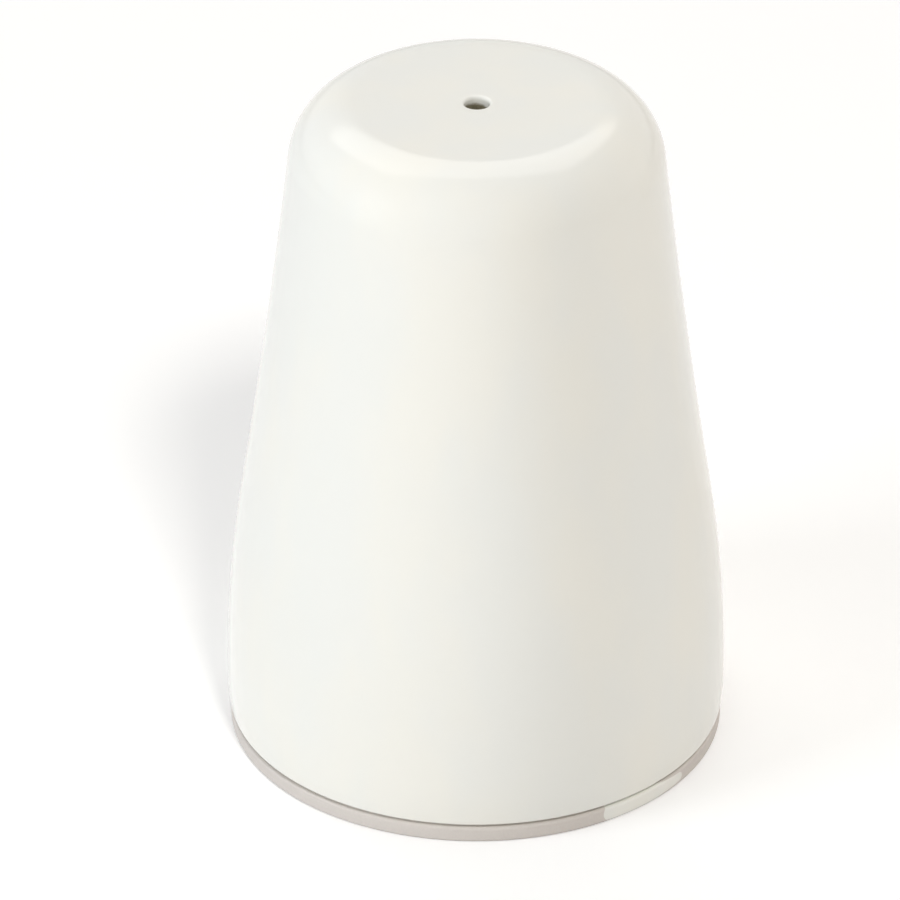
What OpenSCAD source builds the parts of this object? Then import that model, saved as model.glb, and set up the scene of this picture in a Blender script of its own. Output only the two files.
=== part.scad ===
// Pepper shaker: a cast and glazed porcelain body with one shake hole, closed below by a soft stopper.
// The body is turned about the Z axis, its foot stands on Z = 0 and its front faces -Y.

/* [Body] */
// Height of the shaker
body_h = 77.6; // [70:0.2:90]
// Largest diameter, low on the belly
belly_d = 56; // [52:0.5:60]
// Height of the largest diameter
belly_z = 6; // [5:0.5:9]
// Radius of the long bulging curve of the lower side
belly_curve = 152; // [140:2:200]
// Lean of the side where the bulging curve turns into the hollow one, in degrees
side_lean = 9; // [8:0.1:10]
// Radius of the long hollow curve of the upper side
neck_curve = 900; // [600:50:1500]
// Radius of the shoulder
shoulder_curve = 7.4; // [6:0.2:9]
// Thickness of the cast wall
wall = 3.6; // [3:0.1:4.5]

/* [Foot] */
// Radius of the curve that tucks in from the belly to the lower edge
tuck_curve = 30; // [28:1:60]
// Height of the lower edge, where the side ends above the foot
edge_z = 2.2; // [2:0.1:3]
// Radius on the lower edge
edge_round = 0.4; // [0.2:0.1:0.6]
// Outside diameter of the foot ring
foot_d = 55.4; // [54:0.1:55.6]
// Inside diameter of the foot ring
foot_bore_d = 46.8; // [42:0.2:48]
// Radius on the edges of the foot ring
foot_round = 0.4; // [0.2:0.1:0.6]
// Height of the groove between the lower edge and the foot ring
groove_h = 0.35; // [0.2:0.05:0.5]
// Depth of that groove behind its rounded lips
groove_t = 0.25; // [0.1:0.05:0.5]
// Height of the base's underside above the table
base_z = 2.8; // [2.7:0.1:3.6]
// Thickness of the base
base_t = 3.4; // [2.8:0.1:4.5]

/* [Holes] */
// Diameter of the shake hole in the top
shake_d = 2.7; // [2:0.1:4.5]
// Radius to which the glaze softens the shake hole's edges
shake_round = 0.4; // [0.2:0.05:0.8]
// Diameter of the filler hole in the base
filler_d = 20; // [18:0.5:24]
// Radius on the filler hole's edges
filler_round = 0.5; // [0.2:0.1:0.8]

/* [Stopper] */
// Gap all round between the stopper's sealing ribs and the filler hole
seal_gap = 0.12; // [0.1:0.01:0.2]
// Gap between the flange and the base
flange_gap = 0.1; // [0.05:0.05:0.2]
// How far the flange reaches past the filler hole
flange_reach = 2.6; // [2:0.1:4]
// Thickness of the flange
flange_t = 1.7; // [1.4:0.1:2]
// Length of the stem above the flange
stem_l = 10.8; // [10:0.2:14]
// Height of the sealing ribs on the stem
rib_h = 0.58; // [0.4:0.02:0.7]
// Number of sealing ribs
rib_count = 3; // [2:1:3]
// Thickness of the stem's wall and of its closed end
stem_t = 1.9; // [1.6:0.1:2.2]
// Thickness of the grip bar across the hollow of the stem
grip_t = 2.4; // [2:0.1:2.8]

/* [Hidden] */
$fn = 120;
PORCELAIN = "#f0efe8";
SOFT_PLASTIC = "#d7d9d6";

belly_r = belly_d / 2;
foot_r = foot_d / 2;
foot_bore_r = foot_bore_d / 2;
shake_r = shake_d / 2;
filler_r = filler_d / 2;
floor_z = base_z + base_t;
// Radius of the cove where the wall runs into the floor of the chamber
floor_cove = 4;
// Radius of the cove where the base runs into the foot ring
base_cove = 1;

// Centres of the curves of the outside, as [radius, height]
tuck_c = [belly_r - tuck_curve, belly_z];
belly_c = [belly_r - belly_curve, belly_z];
neck_c = belly_c + (belly_curve + neck_curve) * [cos(side_lean), sin(side_lean)];
shoulder_z = body_h - shoulder_curve;
shoulder_reach = neck_curve + shoulder_curve;
shoulder_c = [neck_c.x - sqrt(shoulder_reach ^ 2 - (neck_c.y - shoulder_z) ^ 2), shoulder_z];
// Direction, above the horizontal, in which the side faces where the shoulder begins
shoulder_lean = asin((neck_c.y - shoulder_z) / shoulder_reach);
// Direction in which the side faces where the lower edge begins
edge_lean = -asin((belly_z - edge_z - edge_round) / (tuck_curve - edge_round));
edge_c = tuck_c + (tuck_curve - edge_round) * [cos(edge_lean), sin(edge_lean)];
// Top of the foot ring, and radius of the groove above it at its bottom
foot_h = edge_z - groove_h;
groove_r = min(foot_r - foot_round, edge_c.x) - groove_t;
// Direction in which the chamber's wall faces away where its cove begins, and the cove's centre
cove_reach = belly_curve - wall - floor_cove;
cove_lean = asin((floor_z + floor_cove - belly_z) / cove_reach);
cove_c = belly_c + cove_reach * [cos(cove_lean), sin(cove_lean)];

flange_top = base_z - flange_gap;
flange_z = flange_top - flange_t;
flange_r = filler_r + flange_reach;
flange_round = 0.6;
seal_r = filler_r - seal_gap;
stem_r = seal_r - rib_h;
tip_z = flange_top + stem_l;
tip_round = 1.4;
rib_round = 0.9;
rib_first_z = base_z + base_t / 2;
rib_pitch = 2.9;
// Half the angle of a rib's rounded crest that stands proud of the stem
rib_arc = acos(1 - rib_h / rib_round);
hollow_r = stem_r - stem_t;
hollow_top = tip_z - stem_t;
hollow_round = 0.8;
grip_round = 0.5;
grip_lift = 0.4;

// Points along an arc from one direction to another, both ends included
function arc(centre, radius, from, to, steps) =
    [for (i = [0:steps]) centre + radius * [for (a = [from + (to - from) * i / steps]) each [cos(a), sin(a)]]];

// The outside, from the foot's tread up to the flat top
function outside() = concat(
    arc([foot_r - foot_round, foot_round], foot_round, -90, 0, 5),
    arc([foot_r - foot_round, foot_h - foot_round], foot_round, 0, 90, 5),
    [[groove_r, foot_h], [groove_r, edge_z]],
    arc(edge_c, edge_round, -90, edge_lean, 6),
    arc(tuck_c, tuck_curve, edge_lean, 0, 3),
    arc(belly_c, belly_curve, 0, side_lean, 9),
    arc(neck_c, neck_curve, 180 + side_lean, 180 + shoulder_lean, 6),
    arc(shoulder_c, shoulder_curve, shoulder_lean, 90, 14)
);

// The shake hole, from the top down into the chamber
function shake_hole() = concat(
    arc([shake_r + shake_round, body_h - shake_round], shake_round, 90, 180, 5),
    arc([shake_r + shake_round, body_h - wall + shake_round], shake_round, 180, 270, 5)
);

// The chamber, from its ceiling down the wall to its floor
function chamber() = concat(
    arc(shoulder_c, shoulder_curve - wall, 90, shoulder_lean, 9),
    arc(neck_c, neck_curve + wall, 180 + shoulder_lean, 180 + side_lean, 6),
    arc(belly_c, belly_curve - wall, side_lean, cove_lean, 9),
    arc(cove_c, floor_cove, cove_lean, -90, 8)
);

// The filler hole, from the floor down through the base
function filler_hole() = concat(
    arc([filler_r + filler_round, floor_z - filler_round], filler_round, 90, 180, 4),
    arc([filler_r + filler_round, base_z + filler_round], filler_round, 180, 270, 4)
);

// The underside, from the base out to the foot's tread
function underside() = concat(
    arc([foot_bore_r - base_cove, base_z - base_cove], base_cove, 90, 0, 4),
    arc([foot_bore_r + foot_round, foot_round], foot_round, 180, 270, 5)
);

// The stem's side from the flange up, with a rounded crest for each sealing rib
function stem_side() = [
    for (i = [0:rib_count - 1])
        each arc([seal_r - rib_round, rib_first_z + i * rib_pitch], rib_round, -rib_arc, rib_arc, 8)
];

// The stopper without its grip bar
function stopper_outline() = concat(
    arc([hollow_r + grip_round, flange_z + grip_round], grip_round, 180, 270, 4),
    arc([flange_r - flange_round, flange_z + flange_round], flange_round, -90, 0, 5),
    arc([flange_r - flange_round, flange_top - flange_round], flange_round, 0, 90, 5),
    [[stem_r, flange_top]],
    stem_side(),
    arc([stem_r - tip_round, tip_z - tip_round], tip_round, 0, 90, 6),
    [[0, tip_z], [0, hollow_top]],
    arc([hollow_r - hollow_round, hollow_top - hollow_round], hollow_round, 90, 0, 4)
);

// The grip bar's end view, rounded where the fingers pinch it
function grip_outline() = concat(
    arc([grip_round - grip_t / 2, flange_z + grip_lift + grip_round], grip_round, 180, 270, 4),
    arc([grip_t / 2 - grip_round, flange_z + grip_lift + grip_round], grip_round, 270, 360, 4),
    [[grip_t / 2, hollow_top + stem_t / 2], [-grip_t / 2, hollow_top + stem_t / 2]]
);

// The cast and glazed shell
module porcelain_body() {
    color(PORCELAIN)
        rotate_extrude()
            polygon(concat(outside(), shake_hole(), chamber(), filler_hole(), underside()));
}

// The soft plug that closes the filler hole
module base_stopper() {
    color(SOFT_PLASTIC) {
        rotate_extrude()
            polygon(stopper_outline());
        intersection() {
            rotate([90, 0, 90])
                translate([0, 0, -filler_r])
                    linear_extrude(filler_d)
                        polygon(grip_outline());
            cylinder(h = tip_z - stem_t / 2, r = hollow_r + stem_t / 2);
        }
    }
}

porcelain_body();
base_stopper();
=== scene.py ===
"""Looks of a porcelain pepper shaker: a glazed body with one shake hole, and the soft stopper in its base."""
import math

import bmesh
import bpy
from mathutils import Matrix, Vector


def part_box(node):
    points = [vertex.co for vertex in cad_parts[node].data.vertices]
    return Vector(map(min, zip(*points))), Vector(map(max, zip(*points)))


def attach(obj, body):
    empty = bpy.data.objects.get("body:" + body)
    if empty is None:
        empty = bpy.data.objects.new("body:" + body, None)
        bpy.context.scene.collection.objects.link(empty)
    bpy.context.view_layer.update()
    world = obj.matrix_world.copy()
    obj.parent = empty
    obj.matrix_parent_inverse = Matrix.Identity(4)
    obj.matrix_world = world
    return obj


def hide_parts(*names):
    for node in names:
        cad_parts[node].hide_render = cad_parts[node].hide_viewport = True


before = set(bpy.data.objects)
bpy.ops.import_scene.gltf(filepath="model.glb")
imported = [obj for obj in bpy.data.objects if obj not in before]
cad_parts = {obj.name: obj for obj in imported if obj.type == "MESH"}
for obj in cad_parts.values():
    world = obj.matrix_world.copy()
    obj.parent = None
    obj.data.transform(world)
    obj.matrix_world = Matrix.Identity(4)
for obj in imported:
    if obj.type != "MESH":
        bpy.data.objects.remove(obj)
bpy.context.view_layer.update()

MM = 0.001

# The body, in metres. Its height and girth come from the frame.
body_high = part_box("porcelain_body")[1]
BODY_H = body_high.z
BELLY_R = body_high.x
BELLY_Z = 6 * MM
BELLY_CURVE = 152 * MM
SIDE_LEAN = 9
NECK_CURVE = 900 * MM
SHOULDER_CURVE = 7.4 * MM
WALL = 3.6 * MM
TUCK_CURVE = 30 * MM
EDGE_Z = 2.2 * MM
EDGE_ROUND = 0.4 * MM
FOOT_R = 27.7 * MM
FOOT_BORE_R = 23.4 * MM
FOOT_ROUND = 0.4 * MM
TREAD_OUT = FOOT_R - FOOT_ROUND
TREAD_IN = FOOT_BORE_R + FOOT_ROUND
GROOVE_H = 0.35 * MM
GROOVE_T = 0.25 * MM
GROOVE_Z = EDGE_Z - GROOVE_H / 2
FOOT_H = EDGE_Z - GROOVE_H
BASE_Z = 2.8 * MM
BASE_T = 3.4 * MM
BASE_COVE = 1 * MM
CHAMBER_Z = BASE_Z + BASE_T
CHAMBER_COVE = 4 * MM
SHAKE_R = 1.35 * MM
SHAKE_ROUND = 0.4 * MM
FILLER_R = 10 * MM
FILLER_ROUND = 0.5 * MM

# Soft waves of the cast and glazed side: their height, the stretches over which they fade in above the lower
# edge and out below the top, how far below the top they end, and the radius inside which there are none
WAVE_HEIGHT = 0.03 * MM
WAVE_FADE_IN = 6 * MM
WAVE_FADE_OUT = 5 * MM
WAVE_TOP_GAP = 1 * MM
WAVE_INNER_R = FILLER_R + 2 * MM
# crests round the body, twist from the foot to the top and start in radians, and share of the height
WAVES = (
    (2, 2.1, 1.3, 1.0),
    (3, -4.2, 0.4, 0.7),
    (5, 9.0, 0.0, 0.6),
    (7, -13.0, 2.0, 0.5),
)

# The stopper, in metres. Its foot, top and flange come from the frame.
stopper_low, stopper_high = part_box("base_stopper")
FLANGE_Z = stopper_low.z
FLANGE_R = stopper_high.x
TIP_Z = stopper_high.z
FLANGE_T = 1.7 * MM
FLANGE_ROUND = 0.6 * MM
SEAL_GAP = 0.12 * MM
SEAL_R = FILLER_R - SEAL_GAP
RIB_H = 0.58 * MM
RIB_ROUND = 0.9 * MM
RIB_PITCH = 2.9 * MM
RIB_FIRST_Z = BASE_Z + BASE_T / 2
RIB_COUNT = 3
STEM_R = SEAL_R - RIB_H
STEM_T = 1.9 * MM
TIP_ROUND = 1.4 * MM
HOLLOW_ROUND = 0.8 * MM
GRIP_T = 2.4 * MM
GRIP_ROUND = 0.5 * MM
GRIP_LIFT = 0.4 * MM
# Ring sunk into the flange's underside, bead left by the mould on its rim, and dimple of the gate on the tip
RING_R = 10.4 * MM
RING_HALF = 0.5 * MM
RING_DEPTH = 0.22 * MM
BEAD_HALF = 0.14 * MM
BEAD_HEIGHT = 0.07 * MM
GATE_R = 1.3 * MM
GATE_DEPTH = 0.22 * MM

# How finely the meshes are drawn: steps round the axis, then along straight stretches, edges, beads and
# curves; the angle past which an edge looks sharp, and the radius below which a point is on the axis
BODY_TURNS = 288
STOPPER_TURNS = 160
STRAIGHT_STEPS = 4
TIP_STEPS = 5
SOFT_EDGE_STEPS = 6
EDGE_STEPS = 8
ROUND_STEPS = 10
BEAD_STEPS = 12
TOP_STEPS = 16
BELLY_STEPS = 24
LONG_STEPS = 36
SHARP_ANGLE = math.radians(35)
ON_AXIS = 1e-7

# Glaze: its warm and cool tones, and a darker one that paints shade in the groove; the width of its tall
# patches, how far they are drawn out, and the stretch of noise from one tone to the other; its pool in the
# groove, darkened as painted shade; the clouds and ripples of its gloss
GLAZE_WARM = (0.881, 0.868, 0.809, 1.0)
GLAZE_COOL = (0.855, 0.856, 0.819, 1.0)
GLAZE_POOL_SHADE = (0.78, 0.78, 0.72, 1.0)
TONE_W = 11 * MM
TONE_DRAW = 0.45
TONE_FROM = 0.34
TONE_TO = 0.66
POOL_SHADE_HALF = 0.4 * MM
POOL_SHADE_CORE = 0.15 * MM
POOL_SHADE_SHARE = 0.4
CLOUD_SIZE = 14 * MM
RIPPLE_SIZE = 3.2 * MM
RIPPLE_DEPTH = 0.012 * MM
GLAZE_ROUGHNESS = 0.12
CLOUD_ROUGHNESS = 0.05
GLAZE_IOR = 1.5

# Biscuit, bare where the glaze is wiped off: its tones, dark enough to paint the shade under the body's edge,
# and its grain, and the heights up to which the foot is wiped inside and outside, how uneven that line is and
# how soft
BISCUIT_SHADE_DARK = (0.62, 0.575, 0.54, 1.0)
BISCUIT_SHADE_PALE = (0.69, 0.645, 0.61, 1.0)
GRAIN_SIZE = 0.25 * MM
GRAIN_DEPTH = 0.03 * MM
MATT_ROUGHNESS = 0.55
WIPED_IN_Z = 0.5 * MM
WIPED_OUT_Z = FOOT_H + 0.2 * MM
WIPED_UNEVEN = 0.3 * MM
WIPED_EDGE = 0.08 * MM

# The run of glaze left on the foot, lighter than the biscuit around it as a painted lit patch: how far its
# middle is turned from the front to the right, half its length between the rounded ends, half its height, its
# height above the table and how much it narrows to the right
LIT_RUN_TURN = math.radians(44)
LIT_RUN_HALF_L = 5.4 * MM
LIT_RUN_HALF_H = 0.95 * MM
LIT_RUN_Z = 0.95 * MM
LIT_RUN_TAPER = 0.08
# size of the lumps in its outline, how uneven and how soft it is, how far it runs in under the foot, and how
# far it brings the wiped line down
LIT_RUN_LUMP = 5 * MM
LIT_RUN_UNEVEN = 0.3 * MM
LIT_RUN_EDGE = 0.2 * MM
LIT_RUN_UNDER = 0.9 * MM
LIT_RUN_COVER = 2 * MM

# Painted shade in the shake hole, dark and speckled: its tones and speckle, how far past the wall it thins
# out, how deep below the rim it starts and is full, how much deeper it starts to the right, where light falls
# on the wall, how uneven that is, and how it ends below
HOLE_SHADE_DARK = (0.13, 0.118, 0.072, 1.0)
HOLE_SHADE_PALE = (0.32, 0.288, 0.20, 1.0)
SHADE_SPECKLE_SIZE = 0.35 * MM
HOLE_SHADE_OUT = 0.5 * MM
HOLE_SHADE_FULL = 0.2 * MM
HOLE_SHADE_START = 0.65 * MM
HOLE_SHADE_DEEP = 1.1 * MM
HOLE_SHADE_TILT = 0.14
HOLE_SHADE_UNEVEN = 0.3 * MM
HOLE_SHADE_END = 0.5 * MM

# Silicone: its tones, the part that fingers have yellowed, its clouds and mould grain, and how deep
# light goes into it
SILICONE_DARK = (0.64, 0.655, 0.635, 1.0)
SILICONE_PALE = (0.70, 0.71, 0.69, 1.0)
SILICONE_HANDLED = (0.60, 0.585, 0.53, 1.0)
HANDLED_H = 1.2 * MM
HANDLED_SHARE = 0.35
SILICONE_CLOUD = 5 * MM
SILICONE_GRAIN = 0.18 * MM
SILICONE_GRAIN_DEPTH = 0.012 * MM
SILICONE_ROUGHNESS = 0.42
SILICONE_GRAIN_ROUGHNESS = 0.16
SILICONE_IOR = 1.41
MILKINESS = 0.35
MILK_DEPTH = 1.0 * MM
MILK_COLOUR_DEPTHS = (2.0, 2.0, 1.8)

# The camera, fitted to the outline of the photographed body
PHOTO_PX = 900
BODY_MIDDLE_PX = (476.2, 412.1)
FOCAL_PX = 7576
CAMERA_DISTANCE = 0.84
CAMERA_ELEVATION = math.radians(30.2)
SENSOR_MM = 36

# The studio: an even white room, a pale floor with an opening under the foot, and broad lamps
SEEN_RAYS = ("Is Camera Ray", "Is Glossy Ray", "Is Transmission Ray")
WHITE = (1.0, 1.0, 1.0, 1.0)
WORLD_LEVEL = 0.2
WORLD_TINT = (1.0, 0.97, 0.93, 1.0)
FLOOR_R = 4.0
FLOOR_OPENING_R = TREAD_OUT - 0.05 * MM
FLOOR_DROP = 0.02 * MM
FLOOR_TURNS = 128
FLOOR_TINT = (0.92, 0.91, 0.90, 1.0)
FLOOR_LIFT = 0.22
FLOOR_LIFT_TINT = (0.92, 0.95, 1.0, 1.0)
BODY_MIDDLE = Vector((0, 0, BODY_H / 2))
LAMP_DISTANCE = 1.2
COOL = (0.885, 0.943, 1.0)
PLAIN = (1.0, 0.98, 0.94)
WARM = (1.0, 0.94, 0.88)
# name, degrees round from the front to the right, degrees up, width and height in metres, watts, tint, gleam;
# the one under the table lights the underside alone, as the floor is clear from below and solid from above
LAMPS = (
    ("left_window", -67, 18, (0.5, 0.9), 7.4, COOL, False),
    ("front_lamp", 16, 49, (0.18, 0.18), 6.0, PLAIN, False),
    ("right_low", 114, 5, (0.6, 0.5), 3.4, WARM, False),
    ("back_high", -172, 56, (1.32, 0.9), 5.1, PLAIN, True),
    ("overhead", -40, 72, (0.5, 0.5), 0.5, PLAIN, False),
    ("under_table", -30, -62, (0.7, 0.7), 7.0, PLAIN, False),
)

# Sockets of a Mix node that takes colours
MIX_SHARE = 0
MIX_FIRST = 6
MIX_SECOND = 7
MIX_RESULT = 2


class Value:
    """A number, colour or vector that varies over a surface. Arithmetic on a number adds Math nodes."""

    def __init__(self, finish, socket):
        self.finish = finish
        self.socket = socket

    def math(self, operation, first, second=0.0):
        return self.finish.node("ShaderNodeMath", {"operation": operation}, {0: first, 1: second})

    def __add__(self, other):
        return self.math("ADD", self, other)

    def __radd__(self, other):
        return self.math("ADD", other, self)

    def __sub__(self, other):
        return self.math("SUBTRACT", self, other)

    def __rsub__(self, other):
        return self.math("SUBTRACT", other, self)

    def __mul__(self, other):
        return self.math("MULTIPLY", self, other)

    def __rmul__(self, other):
        return self.math("MULTIPLY", other, self)

    def __truediv__(self, other):
        return self.math("DIVIDE", self, other)

    def __rtruediv__(self, other):
        return self.math("DIVIDE", other, self)

    def __pow__(self, other):
        return self.math("POWER", self, other)

    def __rpow__(self, other):
        return self.math("POWER", other, self)

    def __abs__(self):
        return self.math("ABSOLUTE", self)

    def most(self, other):
        """The larger of the two."""
        return self.math("MAXIMUM", self, other)

    def turn(self):
        """The angle whose cosine this is."""
        return self.math("ARCCOSINE", self)


class Finish:
    """The node tree of one material, or of the world."""

    def __init__(self, owner):
        owner.use_nodes = True
        self.tree = owner.node_tree
        self.tree.nodes.clear()

    def node(self, kind, settings=None, sockets=None, output=0):
        """Adds a node, sets it up, fills its sockets with values or links, and gives one of its outputs."""
        made = self.tree.nodes.new(kind)
        for name, value in (settings or {}).items():
            setattr(made, name, value)
        for name, value in (sockets or {}).items():
            if isinstance(value, Value):
                self.tree.links.new(value.socket, made.inputs[name])
            else:
                made.inputs[name].default_value = value
        return Value(self, made.outputs[output]) if made.outputs else None

    def place(self):
        """Where a point is on its piece, in metres."""
        return self.node("ShaderNodeTexCoord", output="Object")

    def coordinate(self, place, axis):
        """How far a place is along the X, Y or Z axis."""
        return self.node("ShaderNodeSeparateXYZ", None, {"Vector": place}, axis)

    def drawn_out(self, place, share):
        """Places with their height cut to a share, so that a pattern on them is drawn out up and down."""
        settings = {"operation": "MULTIPLY"}
        return self.node("ShaderNodeVectorMath", settings, {0: place, 1: (1.0, 1.0, share)})

    def noise(self, place, size, detail=2.0, roughness=0.5):
        """Cloudy noise from 0 to 1 with patches of about that size in metres."""
        sockets = {"Vector": place, "Scale": 1 / size, "Detail": detail, "Roughness": roughness}
        return self.node("ShaderNodeTexNoise", None, sockets, "Fac")

    def step(self, value, low, high):
        """0 below low, 1 above high and a smooth ramp between; low may be the larger one."""
        sockets = {"Value": value, "From Min": low, "From Max": high}
        return self.node("ShaderNodeMapRange", {"interpolation_type": "SMOOTHSTEP"}, sockets)

    def mix(self, share, first, second):
        """A colour between two others."""
        settings = {"data_type": "RGBA", "clamp_factor": True}
        sockets = {MIX_SHARE: share, MIX_FIRST: first, MIX_SECOND: second}
        return self.node("ShaderNodeMix", settings, sockets, MIX_RESULT)

    def bump(self, height, depth, under=None):
        """A normal dented by a height from 0 to 1, with that depth in metres at full height."""
        sockets = {"Height": height, "Distance": depth, "Strength": 1.0}
        if under:
            sockets["Normal"] = under
        return self.node("ShaderNodeBump", None, sockets)

    def surface(self, sockets):
        """Ends a material in one Principled shader with those sockets."""
        shader = self.node("ShaderNodeBsdfPrincipled", None, sockets)
        self.node("ShaderNodeOutputMaterial", None, {"Surface": shader})


def uneven(noise, spread):
    """Noise centred on nothing, with that spread from its lowest to its highest."""
    return (noise - 0.5) * spread


def white_glaze():
    """Warm-white glaze, wiped off most of the foot down to biscuit, with painted shade in the shake hole, in
    the groove and on the bare foot, and a painted lit patch on a run of glaze on the foot.
    """
    made = bpy.data.materials.new("white_glaze")
    finish = Finish(made)
    place = finish.place()
    x, y, height = (finish.coordinate(place, axis) for axis in "XYZ")
    reach = (x * x + y * y) ** 0.5
    clouds = finish.noise(place, CLOUD_SIZE, detail=3.0)
    lumps = finish.noise(place, LIT_RUN_LUMP, detail=1.0)
    ripple = finish.noise(place, RIPPLE_SIZE, detail=1.0)
    grain = finish.noise(place, GRAIN_SIZE, detail=3.0, roughness=0.7)
    # speckle of the shade painted in the shake hole
    shade_speckle = finish.noise(place, SHADE_SPECKLE_SIZE, roughness=0.6)

    # the glaze ran down as it dried, so it is a little warmer and cooler in tall soft patches
    tone = finish.noise(finish.drawn_out(place, TONE_DRAW), TONE_W)
    glaze = finish.mix(finish.step(tone, TONE_FROM, TONE_TO), GLAZE_WARM, GLAZE_COOL)
    # the glaze gathers in the groove above the foot, and a darker tone there paints the shade in the groove
    pool_shade = finish.step(abs(height - GROOVE_Z), POOL_SHADE_HALF, POOL_SHADE_CORE)
    glaze = finish.mix(pool_shade * POOL_SHADE_SHARE, glaze, GLAZE_POOL_SHADE)

    # the run of glaze on the foot, which paints a lit patch there
    facing = (x * math.sin(LIT_RUN_TURN) - y * math.cos(LIT_RUN_TURN)) / reach
    past_end = (FOOT_R * facing.turn() - LIT_RUN_HALF_L).most(0.0)
    off_lit_run = (past_end * past_end + (height - LIT_RUN_Z) ** 2.0) ** 0.5 + uneven(lumps, LIT_RUN_UNEVEN)
    to_the_right = (x * math.cos(LIT_RUN_TURN) + y * math.sin(LIT_RUN_TURN)).most(0.0)
    off_lit_run = off_lit_run + to_the_right * LIT_RUN_TAPER
    lit_run = finish.step(off_lit_run, LIT_RUN_HALF_H + LIT_RUN_EDGE, LIT_RUN_HALF_H - LIT_RUN_EDGE)
    lit_run = lit_run * finish.step(reach, TREAD_OUT - LIT_RUN_UNDER, TREAD_OUT)

    # elsewhere the glaze is wiped off the tread, and off the foot up to the groove, along an uneven line; the
    # biscuit's darker tone also paints the shade under the body's edge
    outside = finish.step(reach, TREAD_IN, TREAD_OUT)
    wiped_to = WIPED_IN_Z + outside * (WIPED_OUT_Z - WIPED_IN_Z)
    wiped_to = wiped_to - lit_run * LIT_RUN_COVER + uneven(clouds, WIPED_UNEVEN)
    bare_and_shade = finish.step(height - wiped_to, WIPED_EDGE, -WIPED_EDGE)
    colour = finish.mix(bare_and_shade, glaze, finish.mix(grain, BISCUIT_SHADE_DARK, BISCUIT_SHADE_PALE))

    # painted shade on the wall of the shake hole below its rim, dark and speckled, starting deeper on the
    # right, where light falls on the wall
    ceiling = BODY_H - WALL
    below_rim = BODY_H - height - x * HOLE_SHADE_TILT + uneven(shade_speckle, HOLE_SHADE_UNEVEN)
    hole_shade = finish.step(reach, SHAKE_R + HOLE_SHADE_OUT, SHAKE_R + HOLE_SHADE_FULL)
    hole_shade = hole_shade * finish.step(below_rim, HOLE_SHADE_START, HOLE_SHADE_DEEP)
    hole_shade = hole_shade * finish.step(height, ceiling - HOLE_SHADE_END, ceiling)
    colour = finish.mix(hole_shade, colour, finish.mix(shade_speckle, HOLE_SHADE_DARK, HOLE_SHADE_PALE))

    matt = bare_and_shade.most(hole_shade)
    skin = finish.bump(ripple, RIPPLE_DEPTH)
    finish.surface({
        "Base Color": colour,
        "Roughness": GLAZE_ROUGHNESS + clouds * CLOUD_ROUGHNESS + matt * MATT_ROUGHNESS,
        "IOR": GLAZE_IOR,
        "Normal": finish.bump(grain * matt, GRAIN_DEPTH, skin),
    })
    return made


def soft_silicone():
    """Milky translucent silicone with the fine grain of its mould, a little yellowed where it is handled."""
    made = bpy.data.materials.new("soft_silicone")
    finish = Finish(made)
    place = finish.place()
    height = finish.coordinate(place, "Z")
    clouds = finish.noise(place, SILICONE_CLOUD)
    grain = finish.noise(place, SILICONE_GRAIN, roughness=0.6)
    milky = finish.mix(clouds, SILICONE_DARK, SILICONE_PALE)
    handled = finish.step(height, FLANGE_Z + HANDLED_H, FLANGE_Z)
    finish.surface({
        "Base Color": finish.mix(handled * HANDLED_SHARE, milky, SILICONE_HANDLED),
        "Roughness": SILICONE_ROUGHNESS + grain * SILICONE_GRAIN_ROUGHNESS,
        "IOR": SILICONE_IOR,
        "Subsurface Weight": MILKINESS,
        "Subsurface Radius": MILK_COLOUR_DEPTHS,
        "Subsurface Scale": MILK_DEPTH,
        "Normal": finish.bump(grain, SILICONE_GRAIN_DEPTH),
    })
    return made


def arc(centre, radius, start, end, steps):
    """Points (radius, height) along an arc between two directions in degrees, both ends included."""
    turns = [math.radians(start + (end - start) * i / steps) for i in range(steps + 1)]
    return [(centre[0] + radius * math.cos(a), centre[1] + radius * math.sin(a)) for a in turns]


def along(start, end, steps):
    """Points between two others, both left out."""
    shares = [i / steps for i in range(1, steps)]
    return [tuple(a + (b - a) * s for a, b in zip(start, end)) for s in shares]


def swell(half, height, steps):
    """Points (along, out) of a soft bead that rises from nothing to a height and falls back to nothing."""
    shares = [2 * i / steps - 1 for i in range(steps + 1)]
    return [(half * s, height * math.cos(s * math.pi / 2) ** 2) for s in shares]


def away(centre, reach, lean):
    """The point (radius, height) at that reach from another, in a direction in radians."""
    return (centre[0] + reach * math.cos(lean), centre[1] + reach * math.sin(lean))


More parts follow.
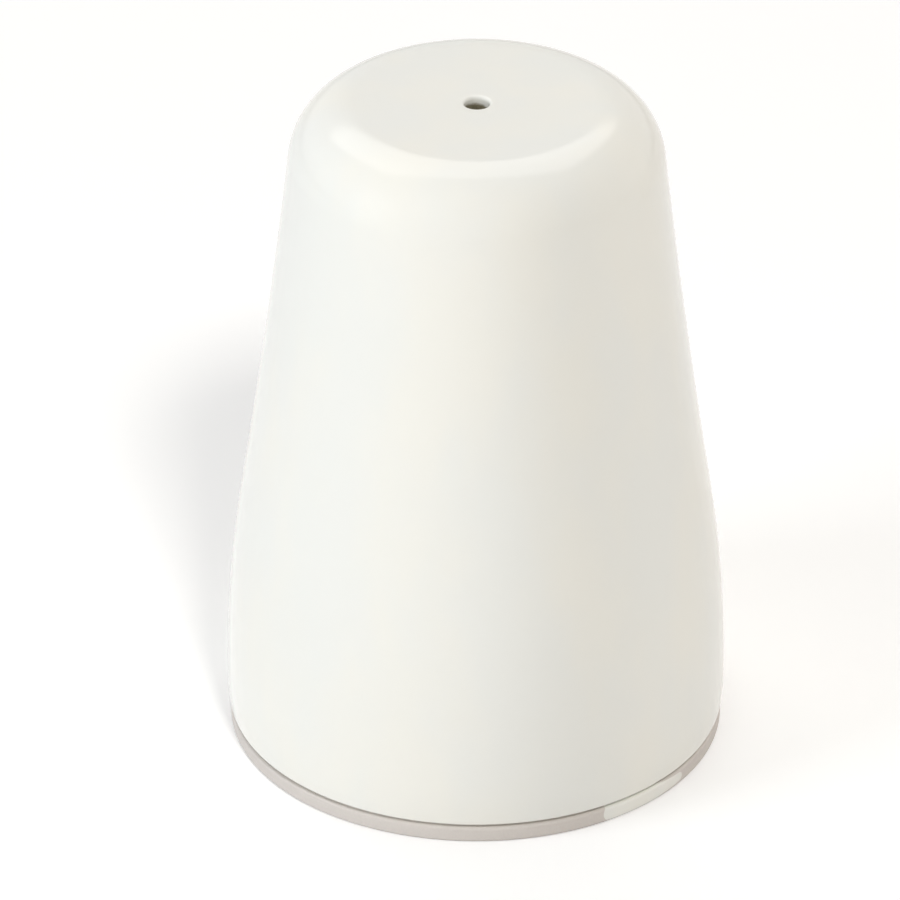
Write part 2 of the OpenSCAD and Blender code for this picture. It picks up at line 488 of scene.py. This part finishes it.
def body_outline():
    """Half the body's section: up the outside, down the shake hole, round the chamber and out by the foot."""
    tuck_c = (BELLY_R - TUCK_CURVE, BELLY_Z)
    belly_c = (BELLY_R - BELLY_CURVE, BELLY_Z)
    neck_c = away(belly_c, BELLY_CURVE + NECK_CURVE, math.radians(SIDE_LEAN))
    shoulder_z = BODY_H - SHOULDER_CURVE
    shoulder_reach = NECK_CURVE + SHOULDER_CURVE
    shoulder_lean = math.asin((neck_c[1] - shoulder_z) / shoulder_reach)
    shoulder_c = (neck_c[0] - shoulder_reach * math.cos(shoulder_lean), shoulder_z)
    edge_lean = -math.asin((BELLY_Z - EDGE_Z - EDGE_ROUND) / (TUCK_CURVE - EDGE_ROUND))
    edge_c = away(tuck_c, TUCK_CURVE - EDGE_ROUND, edge_lean)
    cove_reach = BELLY_CURVE - WALL - CHAMBER_COVE
    cove_lean = math.asin((CHAMBER_Z + CHAMBER_COVE - BELLY_Z) / cove_reach)
    cove_c = away(belly_c, cove_reach, cove_lean)
    edge_face, shoulder_face, cove_face = (math.degrees(a) for a in (edge_lean, shoulder_lean, cove_lean))
    groove_half = GROOVE_H / 2
    groove_c = (min(TREAD_OUT, edge_c[0]) - GROOVE_T + groove_half, GROOVE_Z)
    shake_c = SHAKE_R + SHAKE_ROUND
    filler_c = FILLER_R + FILLER_ROUND
    cove_r = FOOT_BORE_R - BASE_COVE
    rim = BODY_H - SHAKE_ROUND
    ceiling = BODY_H - WALL
    outside = [
        *arc((TREAD_OUT, FOOT_ROUND), FOOT_ROUND, -90, 0, EDGE_STEPS),
        *along((FOOT_R, FOOT_ROUND), (FOOT_R, FOOT_H - FOOT_ROUND), STRAIGHT_STEPS),
        *arc((TREAD_OUT, FOOT_H - FOOT_ROUND), FOOT_ROUND, 0, 90, EDGE_STEPS),
        *arc(groove_c, groove_half, 270, 90, ROUND_STEPS),
        *arc(edge_c, EDGE_ROUND, -90, edge_face, BEAD_STEPS),
        *arc(tuck_c, TUCK_CURVE, edge_face, 0, SOFT_EDGE_STEPS)[1:],
        *arc(belly_c, BELLY_CURVE, 0, SIDE_LEAN, BELLY_STEPS)[1:],
        *arc(neck_c, NECK_CURVE, 180 + SIDE_LEAN, 180 + shoulder_face, LONG_STEPS)[1:],
        *arc(shoulder_c, SHOULDER_CURVE, shoulder_face, 90, LONG_STEPS)[1:],
        *along((shoulder_c[0], BODY_H), (shake_c, BODY_H), TOP_STEPS),
    ]
    shake_hole = [
        *arc((shake_c, rim), SHAKE_ROUND, 90, 180, ROUND_STEPS),
        *along((SHAKE_R, rim), (SHAKE_R, ceiling + SHAKE_ROUND), STRAIGHT_STEPS),
        *arc((shake_c, ceiling + SHAKE_ROUND), SHAKE_ROUND, 180, 270, SOFT_EDGE_STEPS),
    ]
    chamber = [
        *along((shake_c, ceiling), (shoulder_c[0], ceiling), STRAIGHT_STEPS),
        *arc(shoulder_c, SHOULDER_CURVE - WALL, 90, shoulder_face, BEAD_STEPS),
        *arc(neck_c, NECK_CURVE + WALL, 180 + shoulder_face, 180 + SIDE_LEAN, ROUND_STEPS)[1:],
        *arc(belly_c, BELLY_CURVE - WALL, SIDE_LEAN, cove_face, EDGE_STEPS)[1:],
        *arc(cove_c, CHAMBER_COVE, cove_face, -90, BEAD_STEPS)[1:],
        *along((cove_c[0], CHAMBER_Z), (filler_c, CHAMBER_Z), STRAIGHT_STEPS),
    ]
    base = [
        *arc((filler_c, CHAMBER_Z - FILLER_ROUND), FILLER_ROUND, 90, 180, SOFT_EDGE_STEPS),
        *arc((filler_c, BASE_Z + FILLER_ROUND), FILLER_ROUND, 180, 270, SOFT_EDGE_STEPS),
        *along((filler_c, BASE_Z), (cove_r, BASE_Z), EDGE_STEPS),
        *arc((cove_r, BASE_Z - BASE_COVE), BASE_COVE, 90, 0, EDGE_STEPS),
        *arc((TREAD_IN, FOOT_ROUND), FOOT_ROUND, 180, 270, EDGE_STEPS),
        *along((TREAD_IN, 0), (TREAD_OUT, 0), STRAIGHT_STEPS),
    ]
    return outside + shake_hole + chamber + base


def finished_mesh(made, name):
    """A mesh of that name from what was drawn, with its faces turned outwards."""
    bmesh.ops.recalc_face_normals(made, faces=made.faces)
    mesh = bpy.data.meshes.new(name)
    made.to_mesh(mesh)
    made.free()
    return mesh


def turned_mesh(name, outline, turns):
    """A mesh turned about the axis from points (radius, height); a point on the axis becomes one vertex."""
    made = bmesh.new()
    angles = [2 * math.pi * i / turns for i in range(turns)]
    rings = []
    for radius, height in outline:
        if radius < ON_AXIS:
            rings.append([made.verts.new((0, 0, height))] * turns)
            continue
        rings.append([made.verts.new((radius * math.cos(a), radius * math.sin(a), height)) for a in angles])
    for low, high in zip(rings, rings[1:] + rings[:1]):
        for i in range(turns):
            j = (i + 1) % turns
            corners = list(dict.fromkeys((low[i], low[j], high[j], high[i])))
            if len(corners) > 2:
                made.faces.new(corners)
    return finished_mesh(made, name)


def glaze_wave(point):
    """How far the cast and glazed skin swells at a point: long, soft and never the same."""
    turn = math.atan2(point.y, point.x)
    rise = point.z / BODY_H
    swells = [share * math.sin(crests * turn + twist * rise + start) for crests, twist, start, share in WAVES]
    return WAVE_HEIGHT * sum(swells) / sum(wave[-1] for wave in WAVES)


def show(name, mesh, body, node, material):
    """Puts a mesh on the body it rides on, in place of the CAD node it dresses."""
    piece = bpy.data.objects.new(name, mesh)
    bpy.context.scene.collection.objects.link(piece)
    mesh.materials.clear()
    mesh.materials.append(material)
    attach(piece, body)
    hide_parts(node)


def make_body():
    """The glazed body, whose side swells a little in soft waves."""
    mesh = turned_mesh("glazed_body", body_outline(), BODY_TURNS)
    low = EDGE_Z + EDGE_ROUND
    high = BODY_H - WAVE_TOP_GAP
    for vertex in mesh.vertices:
        reach = math.hypot(vertex.co.x, vertex.co.y)
        if reach < WAVE_INNER_R or not low < vertex.co.z < high:
            continue
        fade = min(1.0, (vertex.co.z - low) / WAVE_FADE_IN, (high - vertex.co.z) / WAVE_FADE_OUT)
        push = glaze_wave(vertex.co) * fade
        vertex.co.x *= 1 + push / reach
        vertex.co.y *= 1 + push / reach
    mesh.shade_smooth()
    show("glazed_body", mesh, "shaker", "porcelain_body", white_glaze())


def stopper_outline():
    """Half the stopper's section: out from its hollow, round the flange, up the ribbed stem and back in."""
    flange_top = FLANGE_Z + FLANGE_T
    flange_mid = FLANGE_Z + FLANGE_T / 2
    hollow_r = STEM_R - STEM_T
    hollow_top = TIP_Z - STEM_T
    rim_r = FLANGE_R - FLANGE_ROUND
    ring = swell(RING_HALF, RING_DEPTH, BEAD_STEPS)
    bead = swell(BEAD_HALF, BEAD_HEIGHT, EDGE_STEPS)
    rib_arc = math.degrees(math.acos(1 - RIB_H / RIB_ROUND))
    ribs = []
    for i in range(RIB_COUNT):
        rib_c = (SEAL_R - RIB_ROUND, RIB_FIRST_Z + i * RIB_PITCH)
        ribs += arc(rib_c, RIB_ROUND, -rib_arc, rib_arc, BEAD_STEPS)
    # half of a swell, followed from its edge in to the axis
    gate = swell(GATE_R, GATE_DEPTH, 2 * EDGE_STEPS)[:EDGE_STEPS - 1:-1]
    return [
        *arc((hollow_r + GRIP_ROUND, FLANGE_Z + GRIP_ROUND), GRIP_ROUND, 180, 270, SOFT_EDGE_STEPS),
        *((RING_R + a, FLANGE_Z + deep) for a, deep in ring),
        *arc((rim_r, FLANGE_Z + FLANGE_ROUND), FLANGE_ROUND, -90, 0, EDGE_STEPS),
        *((FLANGE_R - BEAD_HEIGHT + out, flange_mid + a) for a, out in bead),
        *arc((rim_r, flange_top - FLANGE_ROUND), FLANGE_ROUND, 0, 90, EDGE_STEPS),
        *along((rim_r, flange_top), (STEM_R, flange_top), STRAIGHT_STEPS),
        (STEM_R, flange_top),
        *ribs,
        *arc((STEM_R - TIP_ROUND, TIP_Z - TIP_ROUND), TIP_ROUND, 0, 90, ROUND_STEPS),
        *along((STEM_R - TIP_ROUND, TIP_Z), (GATE_R, TIP_Z), TIP_STEPS),
        *((r, TIP_Z - deep) for r, deep in gate),
        (0, hollow_top),
        *along((0, hollow_top), (hollow_r - HOLLOW_ROUND, hollow_top), TIP_STEPS),
        *arc((hollow_r - HOLLOW_ROUND, hollow_top - HOLLOW_ROUND), HOLLOW_ROUND, 90, 0, EDGE_STEPS),
    ]


def grip_bar_mesh(name):
    """The bar across the stopper's hollow, sunk into the wall at both ends and into the roof above."""
    half = GRIP_T / 2
    foot = FLANGE_Z + GRIP_LIFT + GRIP_ROUND
    top = TIP_Z - STEM_T / 2
    reach = STEM_R - STEM_T / 2
    section = [
        *arc((GRIP_ROUND - half, foot), GRIP_ROUND, 180, 270, EDGE_STEPS),
        *arc((half - GRIP_ROUND, foot), GRIP_ROUND, 270, 360, EDGE_STEPS),
        (half, top),
        (-half, top),
    ]
    made = bmesh.new()
    left, right = ([made.verts.new((x, y, z)) for y, z in section] for x in (-reach, reach))
    made.faces.new(left)
    made.faces.new(right)
    for i in range(len(section)):
        j = (i + 1) % len(section)
        made.faces.new((left[i], left[j], right[j], right[i]))
    return finished_mesh(made, name)


def joined(first, second, name):
    """One closed mesh of two that run into each other."""
    parts = [bpy.data.objects.new(mesh.name, mesh) for mesh in (first, second)]
    for part in parts:
        bpy.context.scene.collection.objects.link(part)
    weld = parts[0].modifiers.new("weld", "BOOLEAN")
    weld.operation = "UNION"
    weld.solver = "EXACT"
    weld.object = parts[1]
    shown = parts[0].evaluated_get(bpy.context.evaluated_depsgraph_get())
    mesh = bpy.data.meshes.new_from_object(shown)
    mesh.name = name
    for part in parts:
        bpy.data.objects.remove(part)
    return mesh


def make_stopper():
    """The soft stopper, one moulding of a ribbed shell and its grip bar."""
    shell = turned_mesh("stopper_shell", stopper_outline(), STOPPER_TURNS)
    mesh = joined(shell, grip_bar_mesh("grip_bar"), "soft_stopper")
    mesh.shade_smooth()
    mesh.set_sharp_from_angle(angle=SHARP_ANGLE)
    show("soft_stopper", mesh, "stopper", "base_stopper", soft_silicone())


def seen_by_eye(finish):
    """1 for what the camera, a reflection or a clear piece looks at, and 0 for light on its way."""
    camera, glossy, clear = (finish.node("ShaderNodeLightPath", output=ray) for ray in SEEN_RAYS)
    return camera.most(glossy).most(clear)


def make_world():
    """Even studio light, which the camera and reflections see as white."""
    world = bpy.data.worlds.new("studio")
    bpy.context.scene.world = world
    finish = Finish(world)
    seen = seen_by_eye(finish)
    colour = finish.mix(seen, WORLD_TINT, WHITE)
    strength = WORLD_LEVEL + seen * (1 - WORLD_LEVEL)
    light = finish.node("ShaderNodeBackground", None, {"Color": colour, "Strength": strength})
    finish.node("ShaderNodeOutputWorld", None, {"Surface": light})


def pale_floor():
    """Matt paint that keeps the shadow, lifted a little to white where it is seen, and clear from below."""
    made = bpy.data.materials.new("pale_floor")
    finish = Finish(made)
    matt = finish.node("ShaderNodeBsdfDiffuse", None, {"Color": FLOOR_TINT})
    glow = {"Color": FLOOR_LIFT_TINT, "Strength": seen_by_eye(finish) * FLOOR_LIFT}
    lift = finish.node("ShaderNodeEmission", None, glow)
    above = finish.node("ShaderNodeAddShader", None, {0: matt, 1: lift})
    below = finish.node("ShaderNodeBsdfTransparent")
    underside = finish.node("ShaderNodeNewGeometry", output="Backfacing")
    both = finish.node("ShaderNodeMixShader", None, {0: underside, 1: above, 2: below})
    finish.node("ShaderNodeOutputMaterial", None, {"Surface": both})
    return made


def make_floor():
    """A wide flat ring, with its opening hidden under the foot."""
    angles = [2 * math.pi * i / FLOOR_TURNS for i in range(FLOOR_TURNS)]
    points = []
    for r in (FLOOR_OPENING_R, FLOOR_R):
        points += [(r * math.cos(a), r * math.sin(a), -FLOOR_DROP) for a in angles]
    faces = []
    for i in range(FLOOR_TURNS):
        j = (i + 1) % FLOOR_TURNS
        faces.append((i, i + FLOOR_TURNS, j + FLOOR_TURNS, j))
    mesh = bpy.data.meshes.new("floor")
    mesh.from_pydata(points, [], faces)
    mesh.materials.append(pale_floor())
    floor = bpy.data.objects.new("floor", mesh)
    bpy.context.scene.collection.objects.link(floor)


def softbox(name, around, above, size, watts, tint, gleam):
    """A broad area lamp turned to the middle of the body; only one with a gleam shows in the glaze."""
    turn = math.radians(around)
    rise = math.radians(above)
    way = Vector((math.cos(rise) * math.sin(turn), -math.cos(rise) * math.cos(turn), math.sin(rise)))
    lamp = bpy.data.lights.new(name, "AREA")
    lamp.shape = "RECTANGLE"
    lamp.size, lamp.size_y = size
    lamp.energy = watts
    lamp.color = tint
    stand = bpy.data.objects.new(name, lamp)
    bpy.context.scene.collection.objects.link(stand)
    stand.location = BODY_MIDDLE + way * LAMP_DISTANCE
    stand.rotation_euler = way.to_track_quat("Z", "Y").to_euler()
    stand.visible_camera = False
    stand.visible_glossy = gleam


def make_camera():
    """The photograph's view: the middle of the body lands on the pixel where the photograph has it."""
    data = bpy.data.cameras.new("camera")
    camera = bpy.data.objects.new("camera", data)
    bpy.context.scene.collection.objects.link(camera)
    data.sensor_width = SENSOR_MM
    data.lens = SENSOR_MM * FOCAL_PX / PHOTO_PX
    back = Vector((0, -math.cos(CAMERA_ELEVATION), math.sin(CAMERA_ELEVATION)))
    right = Vector((1, 0, 0))
    up = back.cross(right)
    metres_per_px = CAMERA_DISTANCE / FOCAL_PX
    across = (PHOTO_PX / 2 - BODY_MIDDLE_PX[0]) * metres_per_px
    above = (BODY_MIDDLE_PX[1] - PHOTO_PX / 2) * metres_per_px
    camera.location = BODY_MIDDLE + back * CAMERA_DISTANCE
    aim = BODY_MIDDLE + right * across + up * above
    camera.rotation_euler = (aim - camera.location).to_track_quat("-Z", "Y").to_euler()
    bpy.context.scene.camera = camera


make_body()
make_stopper()
make_floor()
make_world()
for lamp in LAMPS:
    softbox(*lamp)
make_camera()
bpy.context.scene.view_settings.view_transform = "Standard"
